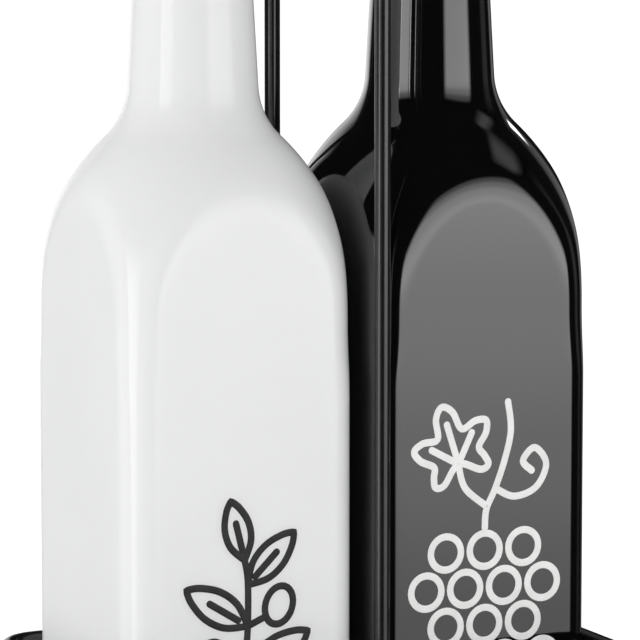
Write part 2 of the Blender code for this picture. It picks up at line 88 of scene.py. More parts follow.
BORE_FLARE_DEPTH = 0.2 * MM
BOTTLE_STEPS = 288

# Pourers, from the mouth upwards
STOPPER_LENGTH = 24 * MM
STOPPER_CORE = 8.4 * MM
STOPPER_RIB = 9.0 * MM
STOPPER_RIBS = 5
STOPPER_NOSE = 1 * MM
STOPPER_SOFT = 0.4 * MM
RIB_VALLEY, RIB_START, RIB_END = 0.25, 0.5, 0.75
COLLAR_RADIUS = 13.4 * MM
COLLAR_HEIGHT = 6.2 * MM
COLLAR_HUB = 8.4 * MM
COLLAR_RIM = 2.4 * MM
COLLAR_STEP = 3.1 * MM
COLLAR_STEP_OUT = 1.4 * MM
COLLAR_SHOULDER = 4.2 * MM
COLLAR_DISH = 0.2 * MM
COLLAR_SOFT = 0.6 * MM
SPOUT_RADIUS = 4.0 * MM
SPOUT_TIP_RADIUS = 3.2 * MM
SPOUT_BORE = 2.7 * MM
SPOUT_RISE = 10 * MM
SPOUT_BEND = 22 * MM
SPOUT_LEAN = radians(50)
SPOUT_REACH = 22 * MM
SPOUT_LIP = 0.4 * MM
AIR_TUBE_RADIUS = 1.1 * MM
AIR_TUBE_BORE = 0.6 * MM
AIR_TUBE_OFFSET = 6.3 * MM
AIR_TUBE_BELOW = 10 * MM
AIR_TUBE_RISE = 6 * MM
AIR_TUBE_BEND = 4 * MM
AIR_TUBE_LEAN = radians(60)
AIR_TUBE_LIP = 0.15 * MM
LIP_NOSE = 0.3
LIP_RETURN = 0.4

# Flaps over the spouts' tips
GAP = 0.3 * MM
BAND_SOFT = 0.2 * MM
EAR_SOFT = 0.15 * MM
PIN_SOFT = 0.3 * MM
ARM_SOFT = 0.2 * MM
LID_SOFT = 0.35 * MM
BRACKET_WALL = 0.8 * MM
BRACKET_LENGTH = 6 * MM
BRACKET_SETBACK = 2 * MM
EAR_ROOT = 2 * MM
EAR_RADIUS = 1.8 * MM
KNUCKLE_RADIUS = 2.1 * MM
KNUCKLE_WIDTH = 5.0 * MM
ARM_WIDTH = 4.6 * MM
ARM_THICKNESS = 1.6 * MM
ARM_CUT = 1.2 * MM
ARM_LAP = 1.2 * MM
PIN_RADIUS = 0.8 * MM
PIN_HEAD_RADIUS = 1.4 * MM
PIN_HEAD = 0.7 * MM
LID_RADIUS = 4.6 * MM
LID_THICKNESS = 1.0 * MM
LEVER_LENGTH = 7 * MM
LEVER_WIDTH = 4.0 * MM
LEVER_ANGLE = radians(130)
BRACKET_RADIUS = SPOUT_TIP_RADIUS + 2 * GAP + BRACKET_WALL
KNUCKLE_BORE = PIN_RADIUS + GAP
KNUCKLE_WALL = KNUCKLE_RADIUS - KNUCKLE_BORE
PIN_OFFSET = BRACKET_RADIUS + GAP + KNUCKLE_RADIUS
PIN_SETBACK = BRACKET_SETBACK + BRACKET_LENGTH / 2
EAR_INSIDE = KNUCKLE_WIDTH / 2 + 2 * GAP

# Caddy: wire sizes and bends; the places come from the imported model
RING_CORNER = 10 * MM
HANDLE_BEND = 22 * MM
RING_PITCH = 4 * MM
WIRE_PITCH = 5 * MM
HANDLE_PITCH = 6 * MM
WIRE_END = 0.35 * MM
WIRE_RUN_IN = 0.9 * MM
FLOOR_WIRES = 7
WELD_REACH = 1.3 * MM
WELD_LONG, WELD_HIGH = 1.5, 0.9
WELD_LUMPS, WELD_LUMP_SCALE = 0.10, 1.7
WELD_INSET = 2 * MM
FLOOR_WELD_INSET = 0.4 * MM
HANDLE_WELD_ABOVE_BASE = 4 * MM

# Rubber feet
FOOT_SOLE_HOLLOW = 0.4 * MM
FOOT_SOLE_INSIDE = 2.2 * MM
FOOT_SOLE_OUTSIDE = 1.8 * MM
FOOT_TREAD = 0.8 * MM
FOOT_TREAD_RISE = 0.9 * MM
FOOT_WAIST = 0.35 * MM
FOOT_WAIST_LEVELS = (0.42, 0.5, 0.58)
FOOT_TOP_INSIDE = 1.6 * MM
FOOT_SOFT = 0.5 * MM

# Painted motifs: one even line, a little proud of the glass
LINE_WIDTH = 1.8 * MM
LINE_PROUD = 0.07 * MM
LINE_SIDES = 12
LINE_CAP_STEPS = 5
OVAL_STEPS = 28


# ---- mesh helpers

def finish_mesh(name, bm, finish, body, stands_for=(), sharp=35):
    """Make the piece from its bmesh, give it its finish and put it on its body."""
    bmesh.ops.remove_doubles(bm, verts=bm.verts, dist=1e-7)
    bmesh.ops.recalc_face_normals(bm, faces=bm.faces)
    mesh = bpy.data.meshes.new(name)
    bm.to_mesh(mesh)
    bm.free()
    mesh.shade_smooth()
    mesh.set_sharp_from_angle(angle=radians(sharp))
    mesh.materials.append(finish)
    made = bpy.data.objects.new(name, mesh)
    bpy.context.scene.collection.objects.link(made)
    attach(made, body)
    if stands_for:
        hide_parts(*stands_for)
    return made


def spun(outline, steps):
    """Spin an outline of (radius, z) points about Z."""
    bm = bmesh.new()
    verts = [bm.verts.new((max(r, 0), 0, z)) for r, z in outline]
    edges = [bm.edges.new(pair) for pair in zip(verts, verts[1:])]
    bmesh.ops.spin(bm, geom=verts + edges, cent=(0, 0, 0), axis=(0, 0, 1), angle=2 * pi,
                   steps=steps, use_merge=True)
    bmesh.ops.remove_doubles(bm, verts=bm.verts, dist=1e-7)
    return bm


def arc(centre, radius, start, end, steps):
    """Points along an arc, both ends included."""
    return [(centre[0] + radius * cos(start + (end - start) * i / steps),
             centre[1] + radius * sin(start + (end - start) * i / steps))
            for i in range(steps + 1)]


def rounded(outline, radius, steps=4):
    """Round the inner corners of an outline of (radius, z) points."""
    points = [outline[0]]
    for before, here, after in zip(outline, outline[1:], outline[2:]):
        corner, back, ahead = Vector(here), Vector(before), Vector(after)
        reach = min(radius, (back - corner).length / 2.01, (ahead - corner).length / 2.01)
        start = corner + (back - corner).normalized() * reach
        end = corner + (ahead - corner).normalized() * reach
        for i in range(steps + 1):
            share = i / steps
            point = start.lerp(corner, share).lerp(corner.lerp(end, share), share)
            points.append(tuple(point))
    return points + [outline[-1]]


def bent_path(corners, radius, closed=False, steps=12):
    """Points along a wire that is bent to one radius at each corner."""
    points = []
    for i, corner in enumerate(corners):
        corner = Vector(corner)
        if not closed and i in (0, len(corners) - 1):
            points.append(corner)
            continue
        before = (Vector(corners[i - 1]) - corner).normalized()
        after = (Vector(corners[(i + 1) % len(corners)]) - corner).normalized()
        half_angle = before.angle(after) / 2
        centre = corner + (before + after).normalized() * radius / sin(half_angle)
        start = corner + before * radius / tan(half_angle) - centre
        end = corner + after * radius / tan(half_angle) - centre
        for step in range(steps + 1):
            turn = Matrix.Rotation((pi - 2 * half_angle) * step / steps, 3, start.cross(end))
            points.append(centre + turn @ start)
    return points


def divided(points, pitch, closed=False):
    """Add points along the straight stretches, so that no step is longer than pitch."""
    ends = points + points[:1] if closed else points
    result = []
    for here, there in zip(ends, ends[1:]):
        count = max(1, round((there - here).length / pitch))
        result += [here.lerp(there, i / count) for i in range(count)]
    return result if closed else result + [points[-1]]


def swept(points, radii, steps=32, closed=False):
    """A round bar or tube wall along points, with a radius at each of them."""
    bm = bmesh.new()
    count = len(points)
    rings = []
    side = None
    for i, point in enumerate(points):
        before = points[i - 1] if closed or i > 0 else point
        after = points[(i + 1) % count] if closed or i < count - 1 else point
        ahead = (after - before).normalized()
        if side is None:
            side = ahead.orthogonal()
        side = (side - ahead * side.dot(ahead)).normalized()
        turn = Matrix((side, ahead.cross(side), ahead)).transposed().to_4x4()
        rings.append(bmesh.ops.create_circle(bm, segments=steps, radius=radii[i],
                                             matrix=Matrix.Translation(point) @ turn)["verts"])
    pairs = list(zip(rings, rings[1:])) + ([(rings[-1], rings[0])] if closed else [])
    for near, far in pairs:
        for k in range(steps):
            bm.faces.new((near[k - 1], near[k], far[k], far[k - 1]))
    if not closed:
        bm.faces.new(rings[0])
        bm.faces.new(rings[-1])
    return bm


def soft_ends(points, radius, edge):
    """Radii that draw a bar's two ends in, as on a cut and tumbled wire."""
    first, last = points[0], points[-1]
    along = [first, first.lerp(points[1], edge / (points[1] - first).length)]
    back = [last.lerp(points[-2], edge / (points[-2] - last).length), last]
    inner = points[1:-1]
    return along + inner + back, [radius - edge] + [radius] * (len(inner) + 2) + [radius - edge]


def placed(bm, matrix):
    """Move a bmesh and hand it back."""
    bmesh.ops.transform(bm, matrix=matrix, verts=bm.verts)
    return bm


def merged(*parts):
    """One bmesh from several; the parts are freed."""
    whole = bmesh.new()
    for part in parts:
        mesh = bpy.data.meshes.new("joined")
        part.to_mesh(mesh)
        part.free()
        whole.from_mesh(mesh)
        bpy.data.meshes.remove(mesh)
    return whole


# ---- finishes

Skin = namedtuple("Skin", "material nodes links shader")


def new_skin(name, **values):
    """A Principled material with its even values set on the shader's own sockets."""
    made = bpy.data.materials.new(name)
    made.use_nodes = True
    shader = made.node_tree.nodes["Principled BSDF"]
    for socket, value in values.items():
        shader.inputs[socket.replace("_", " ")].default_value = value
    return Skin(made, made.node_tree.nodes, made.node_tree.links, shader)


def object_noise(skin, scale, detail=3, stretch=(1, 1, 1), roughness=0.5):
    """Noise on Object coordinates; scale is in features per metre."""
    place = skin.nodes.new("ShaderNodeTexCoord")
    mapping = skin.nodes.new("ShaderNodeMapping")
    mapping.inputs["Scale"].default_value = stretch
    texture = skin.nodes.new("ShaderNodeTexNoise")
    texture.inputs["Scale"].default_value = scale
    texture.inputs["Detail"].default_value = detail
    texture.inputs["Roughness"].default_value = roughness
    skin.links.new(place.outputs["Object"], mapping.inputs["Vector"])
    skin.links.new(mapping.outputs["Vector"], texture.inputs["Vector"])
    return texture.outputs["Fac"]


def spread(skin, source, low, high, from_low=0.3, from_high=0.7):
    """Map a pattern to a range of values."""
    step = skin.nodes.new("ShaderNodeMapRange")
    step.inputs["From Min"].default_value = from_low
    step.inputs["From Max"].default_value = from_high
    step.inputs["To Min"].default_value = low
    step.inputs["To Max"].default_value = high
    skin.links.new(source, step.inputs["Value"])
    return step.outputs["Result"]


def tone(skin, pattern, first, second, **limits):
    """Let the base colour move between two tones by a pattern."""
    mix = skin.nodes.new("ShaderNodeMix")
    mix.data_type = "RGBA"
    mix.inputs[6].default_value = (*first, 1)
    mix.inputs[7].default_value = (*second, 1)
    skin.links.new(spread(skin, pattern, 0, 1, **limits), mix.inputs[0])
    skin.links.new(mix.outputs[2], skin.shader.inputs["Base Color"])


def sheen(skin, pattern, low, high):
    """Let the roughness move between two values by a pattern."""
    skin.links.new(spread(skin, pattern, low, high), skin.shader.inputs["Roughness"])


def bumps(skin, height, distance, under=None):
    """Bump of a given depth in metres, laid over another bump if there is one."""
    bump = skin.nodes.new("ShaderNodeBump")
    bump.inputs["Strength"].default_value = 1.0
    bump.inputs["Distance"].default_value = distance
    skin.links.new(height, bump.inputs["Height"])
    if under:
        skin.links.new(under, bump.inputs["Normal"])
    skin.links.new(bump.outputs["Normal"], skin.shader.inputs["Normal"])
    return bump.outputs["Normal"]


def white_glass():
    """Opaque white coat on glass: glossy, faintly wavy, with a little unevenness in its tone."""
    skin = new_skin("white_coat", IOR=1.42, Subsurface_Weight=0.35, Subsurface_Scale=0.008,
                    Subsurface_Radius=(1.0, 1.0, 1.0))
    cloud = object_noise(skin, scale=22, detail=2)
    fine = object_noise(skin, scale=900, detail=4)
    tone(skin, cloud, (0.850, 0.853, 0.855), (0.882, 0.885, 0.885))
    sheen(skin, fine, low=0.09, high=0.15)
    wave = bumps(skin, object_noise(skin, scale=34, detail=1), distance=0.00010)
    bumps(skin, fine, distance=0.000003, under=wave)
    return skin.material


def black_glass():
    """Opaque black coat on glass: deep, mirror-glossy, with faint waves and fine dust."""
    skin = new_skin("black_coat", Coat_Weight=1.0, Coat_Roughness=0.02, Coat_IOR=1.55, IOR=1.55)
    dust = object_noise(skin, scale=2600, detail=2, roughness=0.7)
    cloud = object_noise(skin, scale=60, detail=3)
    tone(skin, dust, (0.0022, 0.0022, 0.0024), (0.020, 0.020, 0.020), from_low=0.68, from_high=0.80)
    sheen(skin, cloud, low=0.045, high=0.085)
    wave = bumps(skin, object_noise(skin, scale=30, detail=1), distance=0.00008)
    bumps(skin, object_noise(skin, scale=700, detail=3), distance=0.0000025, under=wave)
    return skin.material


def black_wire():
    """Gloss powder coat on steel wire, with its orange-peel skin."""
    skin = new_skin("black_powder_coat", Coat_Weight=0.5, Coat_Roughness=0.12, IOR=1.5)
    peel = object_noise(skin, scale=1300, detail=2)
    cloud = object_noise(skin, scale=90, detail=3)
    tone(skin, cloud, (0.006, 0.006, 0.0065), (0.011, 0.011, 0.0115))
    sheen(skin, peel, low=0.17, high=0.26)
    bumps(skin, peel, distance=0.000005)
    return skin.material


def steel(name, stretch):
    """Polished stainless steel with fine lines along one direction and a few finger marks."""
    skin = new_skin(name, Metallic=1.0)
    lines = object_noise(skin, scale=1500, detail=3, stretch=stretch)
    marks = object_noise(skin, scale=140, detail=4)
    tone(skin, marks, (0.60, 0.595, 0.58), (0.70, 0.695, 0.68))
    sheen(skin, marks, low=0.16, high=0.28)
    bumps(skin, lines, distance=0.000006)
    return skin.material


def rubber():
    """Matte black rubber with a fine grain and a greyish bloom."""
    skin = new_skin("rubber_skin", IOR=1.45)
    grain = object_noise(skin, scale=3200, detail=3)
    bloom = object_noise(skin, scale=180, detail=3)
    tone(skin, bloom, (0.016, 0.016, 0.016), (0.034, 0.034, 0.035))
    sheen(skin, grain, low=0.62, high=0.85)
    bumps(skin, grain, distance=0.00002)
    return skin.material


def paint(name, first, second):
    """Screen-printed line colour: satin, a little grainy, slightly uneven in its cover."""
    skin = new_skin(name, IOR=1.48, Specular_IOR_Level=0.3)
    grain = object_noise(skin, scale=2400, detail=3)
    cover = object_noise(skin, scale=260, detail=3)
    tone(skin, cover, first, second)
    sheen(skin, grain, low=0.32, high=0.5)
    bumps(skin, grain, distance=0.00001)
    return skin.material


# ---- bottles

def soft_min(a, b, blend):
    """The smaller of two values, with a smooth change from one to the other."""
    overlap = max(blend - abs(a - b), 0) / blend
    return min(a, b) - overlap * overlap * blend / 4


def square_reach(angle, half, corner):
    """From the axis to a rounded square's outline, in the direction of angle."""
    across, along = sorted((abs(cos(angle)), abs(sin(angle))))
    if half * across / along <= half - corner:
        return half / along
    inner = half - corner
    middle = inner * (across + along)
    return middle + sqrt(middle ** 2 - 2 * inner ** 2 + corner ** 2)


def shoulder_outline(wall):
    """Dome, throat and neck of the wall's outer side (0) or inner side (GLASS)."""
    corner_reach = (BODY_HALF - BODY_CORNER) * sqrt(2) + BODY_CORNER
    dome = Vector((corner_reach + DOME_OVER - SHOULDER_RADIUS, SHOULDER_HEIGHT))
    upward = Vector((-sin(NECK_TAPER), cos(NECK_TAPER)))
    outward = Vector((cos(NECK_TAPER), sin(NECK_TAPER)))
    neck_top = Vector((NECK_TOP_RADIUS, BOTTLE_HEIGHT - MOUTH_HEIGHT))
    start = neck_top + outward * THROAT_RADIUS - dome
    along = -start.dot(upward)
    slide = along + sqrt(along ** 2 - start.length_squared + (SHOULDER_RADIUS + THROAT_RADIUS) ** 2)
    throat = neck_top + outward * THROAT_RADIUS + upward * slide
    towards = throat - dome
    meet = atan2(towards.y, towards.x)
    drops = [BLEND_DROP * (1 - i / DROP_STEPS) for i in range(DROP_STEPS)]
    outline = [(dome.x + SHOULDER_RADIUS - wall + drop ** 2 / (2 * SHOULDER_RADIUS),
                SHOULDER_HEIGHT - drop) for drop in drops]
    outline += arc(dome, SHOULDER_RADIUS - wall, 0, meet, DOME_STEPS)
    outline += arc(throat, THROAT_RADIUS + wall, meet + pi, pi + NECK_TAPER, THROAT_STEPS)[1:]
    outline.append((NECK_TOP_RADIUS - wall, BOTTLE_HEIGHT - MOUTH_HEIGHT))
    return outline


def press(bm, half, corner, floor, edge):
    """Press a spun blank into a square mould, with a rounded edge at its floor."""
    for vert in bm.verts:
        x, y, z = vert.co
        if hypot(x, y) < 1e-6:
            continue
        angle = atan2(y, x)
        angle += CORNER_GATHER * sin(4 * angle)
        inset = edge - sqrt(max(edge ** 2 - max(floor + edge - z, 0) ** 2, 0))
        reach = square_reach(angle, half - inset, max(corner - inset, SHARPEST_CORNER))
        radius = soft_min(reach, hypot(x, y), ARCH_BLEND)
        vert.co = (radius * cos(angle), radius * sin(angle), z)


def edge_levels(floor, edge):
    """Heights that follow a rounded edge up from its floor."""
    return [floor + edge * (1 - cos(pi / 2 * i / EDGE_STEPS)) for i in range(EDGE_STEPS + 1)]


def bottle(name, body, finish, node):
    """Outer wall, lip, bore and inner wall in one closed shell."""
    low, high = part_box(node)
    blank = (BODY_HALF - BODY_CORNER) * sqrt(2) + BODY_CORNER + 2 * ARCH_BLEND
    sphere = (PUNT_RADIUS ** 2 + PUNT_DEPTH ** 2) / (2 * PUNT_DEPTH)
    punt_radii = [PUNT_RADIUS * i / PUNT_STEPS for i in range(PUNT_STEPS + 1)]
    outside = [(radius, PUNT_DEPTH - sphere + sqrt(sphere ** 2 - radius ** 2)) for radius in punt_radii]
    outside += [(blank, z) for z in edge_levels(0, BASE_EDGE)] + shoulder_outline(0)
    bead = NECK_TOP_RADIUS + MOUTH_BEAD
    lip = BOTTLE_HEIGHT - MOUTH_HEIGHT
    mouth = [(NECK_TOP_RADIUS, lip), (bead, lip + MOUTH_BEAD / 2), (bead, BOTTLE_HEIGHT - LIP_EDGE),
             (bead - LIP_EDGE, BOTTLE_HEIGHT), (BORE_RADIUS + LIP_INSIDE, BOTTLE_HEIGHT)]
    outside += rounded(mouth, MOUTH_ROUND, 6)[1:]
    shell = spun(outside, BOTTLE_STEPS)
    press(shell, BODY_HALF, BODY_CORNER, 0, BASE_EDGE)

    neck_end = BOTTLE_HEIGHT - BORE_DEPTH
    slope = (BORE_DEPTH - MOUTH_HEIGHT + BORE_RUN_IN) * tan(NECK_TAPER)
    inside = [(0, FLOOR_GLASS), (BODY_HALF / 2, FLOOR_GLASS)]
    inside += [(blank, z) for z in edge_levels(FLOOR_GLASS, BASE_EDGE)]
    inside += shoulder_outline(GLASS)[:-1]
    inside += [(NECK_TOP_RADIUS - GLASS + slope, neck_end - BORE_RUN_IN),
               (BORE_RADIUS, neck_end),
               (BORE_RADIUS, BOTTLE_HEIGHT - BORE_LEAD),
               (BORE_RADIUS + BORE_FLARE, BOTTLE_HEIGHT - BORE_FLARE_DEPTH),
               (BORE_RADIUS + LIP_INSIDE, BOTTLE_HEIGHT)]
    hollow = spun(inside, BOTTLE_STEPS)
    press(hollow, BODY_HALF - GLASS, BODY_CORNER - GLASS, FLOOR_GLASS, BASE_EDGE)
    whole = merged(shell, hollow)
    placed(whole, Matrix.Translation(((low.x + high.x) / 2, (low.y + high.y) / 2, low.z)))
    return finish_mesh(name, whole, finish, body, [node], sharp=40)


# ---- painted motifs

def line_piece(name, strokes, finish, body, origin):
    """Even painted lines with round ends on the bottle's front; strokes are (x, z) points in mm."""
    half = LINE_WIDTH / 2
    cap = [(1 - cos(pi / 2 * i / LINE_CAP_STEPS), sin(pi / 2 * i / LINE_CAP_STEPS))
           for i in range(1, LINE_CAP_STEPS + 1)]
    cap_radii = [half * width for _, width in cap]
    parts = []
    for points, closed in strokes:
        path = [Vector((x * MM, 0, z * MM)) for x, z in points]
        if closed:
            parts.append(swept(path, [half] * len(path), LINE_SIDES, closed=True))
            continue
        first = (path[0] - path[1]).normalized()
        last = (path[-1] - path[-2]).normalized()
        nose = [path[0] + first * half * (1 - reach) for reach, _ in cap]
        tail = [path[-1] + last * half * (1 - reach) for reach, _ in reversed(cap)]
        radii = cap_radii + [half] * (len(path) - 2) + cap_radii[::-1]
        parts.append(swept(nose + path[1:-1] + tail, radii, LINE_SIDES))
    whole = merged(*parts)
    bmesh.ops.scale(whole, vec=(1, LINE_PROUD / half, 1), verts=whole.verts)
    placed(whole, Matrix.Translation(origin))
    return finish_mesh(name, whole, finish, body, sharp=80)


def curve_through(knots, steps=8, closed=False):
    """A smooth line through a few knots."""
    count = len(knots)
    spans = count if closed else count - 1
    result = []
    for i in range(spans):
        p0 = knots[i - 1] if closed or i > 0 else knots[i]
        p1 = knots[i]
        p2 = knots[(i + 1) % count]
        p3 = knots[(i + 2) % count] if closed or i + 2 < count else p2
        for k in range(steps):
            t = k / steps
            result.append(tuple(0.5 * (2 * b + (c - a) * t + (2 * a - 5 * b + 4 * c - d) * t * t
                                       + (3 * b - a - 3 * c + d) * t ** 3)
                                for a, b, c, d in zip(p0, p1, p2, p3)))
    return result if closed else result + [tuple(knots[-1])]


def leaf(root, lean, length, width):
    """A pointed leaf from its root, leaning from upright, as a closed line with a short midrib."""
    half_rim = [(-1, 0.0), (-0.45, 0.86), (0.15, 1.0), (0.7, 0.55), (1, 0.0)]
    rib_start, rib_end = 0.16, 0.62
    upper = curve_through([(length * (along + 1) / 2, width / 2 * out) for along, out in half_rim], 6)
    outline = upper + [(along, -out) for along, out in reversed(upper[1:-1])]
    rib = [(length * rib_start, 0), (length * rib_end, 0)]

    def leaned(points):
        return [(root[0] + a * sin(lean) + b * cos(lean), root[1] + a * cos(lean) - b * sin(lean))
                for a, b in points]
    return [(leaned(outline), True), (leaned(rib), False)]


def oval(centre, across, along, lean):
    """A closed oval line, leaning from upright."""
    turns = [2 * pi * i / OVAL_STEPS for i in range(OVAL_STEPS)]
    points = [(across / 2 * cos(turn), along / 2 * sin(turn)) for turn in turns]
    return [([(centre[0] + a * cos(lean) + b * sin(lean), centre[1] - a * sin(lean) + b * cos(lean))
              for a, b in points], True)]


def olive_sprig():
    """An upright olive twig with leaves on alternate sides and olives between them."""
    stem = [(-1.6, 26), (0.4, 38), (0.2, 52), (-0.4, 64), (0.2, 76), (0.2, 86), (-0.6, 91)]
    leaves = (((0.4, 38), 62, 19, 7.4), ((0.0, 50), -62, 19, 7.4), ((-0.4, 63), 60, 19, 7.4),
              ((0.2, 75), -58, 19, 7.4), ((0.2, 85), 46, 17, 6.8), ((-0.6, 91), -14, 15, 6.4))
    olives = ((1, 50), (-1, 63), (1, 75))
    stalk_start, stalk_end, stalk_rise = 0.2, 4.6, 1.8
    olive_out, olive_up, olive_across, olive_along, olive_lean = 8.4, 4.4, 7.2, 9.4, radians(18)
    strokes = [(curve_through(stem, 8), False)]
    for root, lean, length, width in leaves:
        strokes += leaf(root, radians(lean), length, width)
    for side, level in olives:
        stalk = [(side * stalk_start, level), (side * stalk_end, level + stalk_rise)]
        strokes += [(stalk, False)]
        strokes += oval((side * olive_out, level + olive_up), olive_across, olive_along, side * olive_lean)
    return strokes


def vine_leaf(centre, tilt, size):
    """A leaf of five lobes round its centre, open towards its stalk, with three ribs."""
    lobes = ((-126, 0.78), (-64, 0.95), (0, 1.05), (64, 0.95), (126, 0.78))
    ribs = ((-58, 0.56), (0, 0.66), (58, 0.56))
    foot_reach = 0.2
    notch_turn, notch_reach = 32, 0.54
    side_turn, side_share = 13, 0.84

    def at(turn, reach):
        heading = radians(turn + tilt)
        return centre[0] + size * reach * sin(heading), centre[1] + size * reach * cos(heading)

    foot = at(180, foot_reach)
    rim = [foot]
    for number, (turn, reach) in enumerate(lobes):
        if number > 0:
            rim.append(at(turn - notch_turn, notch_reach))
        rim.append(at(turn - side_turn, reach * side_share))
        rim.append(at(turn, reach))
        rim.append(at(turn + side_turn, reach * side_share))
    return [(curve_through(rim, 6, closed=True), True)] + [([foot, at(*rib)], False) for rib in ribs]


def grape_bunch():
    """A hanging bunch of grapes under a vine leaf, with a tendril."""
    rows = (3, 4, 3, 4, 3, 2, 1)
    pitch, grape, top_row = 10.6, 8.2, 88
    stem = [(0, 93.4), (0.4, 98), (2.8, 103), (5.4, 110), (7, 117), (6.2, 124)]
    leaf_stalk = [(-7.3, 109.7), (-5.4, 103.6), (0.6, 98.6)]
    tendril = [(2.8, 103), (8, 100.6), (14, 102.4), (16.8, 108), (13.6, 112.2), (10.4, 109.2),
               (12.8, 106.6)]
    strokes = []
    for row, count in enumerate(rows):
        for i in range(count):
            place = (i - (count - 1) / 2) * pitch, top_row - row * pitch * sqrt(0.75)
            strokes += oval(place, grape, grape, 0)
    strokes += [(curve_through(stem, 8), False)]
    strokes += vine_leaf(centre=(-8.0, 112.0), tilt=-18, size=12.0)
    strokes += [(curve_through(leaf_stalk, 8), False)]
    strokes += [(curve_through(tendril, 8), False)]
    return strokes


# ---- pourers

def spout_points(bend_steps=24):
    """The spout's middle line, from the stopper's foot to the tip."""
    bend = [Vector((SPOUT_BEND * (1 - cos(SPOUT_LEAN * i / bend_steps)), 0,
                    SPOUT_RISE + SPOUT_BEND * sin(SPOUT_LEAN * i / bend_steps)))
            for i in range(bend_steps + 1)]
    outward = Vector((sin(SPOUT_LEAN), 0, cos(SPOUT_LEAN)))
    return [Vector((0, 0, -STOPPER_LENGTH))] + bend + [bend[-1] + outward * SPOUT_REACH]


def tube(points, outer, bore, lip, steps):
    """A tube with rounded lips; outer gives its radius at each point."""
    start = (points[1] - points[0]).normalized() * lip
    end = (points[-2] - points[-1]).normalized() * lip
    outside = [(points[0], (outer[0] + bore) / 2)]
    outside += [(points[0] + start * LIP_NOSE, outer[0] - lip * LIP_NOSE), (points[0] + start, outer[0])]
    outside += list(zip(points, outer))[1:-1]
    outside += [(points[-1] + end, outer[-1]), (points[-1] + end * LIP_NOSE, outer[-1] - lip * LIP_NOSE)]
    outside += [(points[-1], (outer[-1] + bore) / 2), (points[-1] + end * LIP_RETURN, bore)]
    inside = [(point, bore) for point in reversed(points[1:-1])]
    loop = outside + inside + [(points[0] + start * LIP_RETURN, bore)]
    bm = bmesh.new()
    rings = []
    for point, radius in loop:
        nearest = min(range(len(points)), key=lambda k: (points[k] - point).length)
        ahead = points[min(nearest + 1, len(points) - 1)] - points[max(nearest - 1, 0)]
        turn = Matrix.Translation(point) @ Matrix.Rotation(atan2(ahead.x, ahead.z), 4, "Y")
        rings.append(bmesh.ops.create_circle(bm, segments=steps, radius=radius, matrix=turn)["verts"])
    for near, far in zip(rings, rings[1:] + rings[:1]):
        for k in range(steps):
            bm.faces.new((near[k - 1], near[k], far[k], far[k - 1]))
    return bm


def slab(outline, half_width, round_off):
    """Extrude an outline of (x, z) points to both sides of the XZ plane and round its edges."""
    bm = bmesh.new()
    face = bm.faces.new([bm.verts.new((x, -half_width, z)) for x, z in outline])
    side = bmesh.ops.extrude_face_region(bm, geom=[face])
    moved = [item for item in side["geom"] if isinstance(item, bmesh.types.BMVert)]
    bmesh.ops.translate(bm, verts=moved, vec=(0, 2 * half_width, 0))
    bmesh.ops.recalc_face_normals(bm, faces=bm.faces)
    bmesh.ops.bevel(bm, geom=bm.edges[:], offset=round_off, affect="EDGES", segments=3, profile=0.5,
                    material=-1, clamp_overlap=True)
    return bm


def disc(radius, low, high, edge, steps=64):
    """A turned disc with rounded edges."""
    return spun(rounded([(0, low), (radius, low), (radius, high), (0, high)], edge, 5), steps)


def mouth_frame(prefix):
    """The frame at the centre of a bottle's mouth, turned so that its X points outwards."""
    low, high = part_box(prefix + "_bottle")
    outward = 0 if low.x > 0 else pi
    return (Matrix.Translation(((low.x + high.x) / 2, (low.y + high.y) / 2, high.z))
            @ Matrix.Rotation(outward, 4, "Z"))


def pin_place():
    """The flap pin's frame, seen from the spout's tip, with its axis along Z."""
    return Matrix.Translation((-PIN_OFFSET, 0, -PIN_SETBACK)) @ Matrix.Rotation(pi / 2, 4, "X")


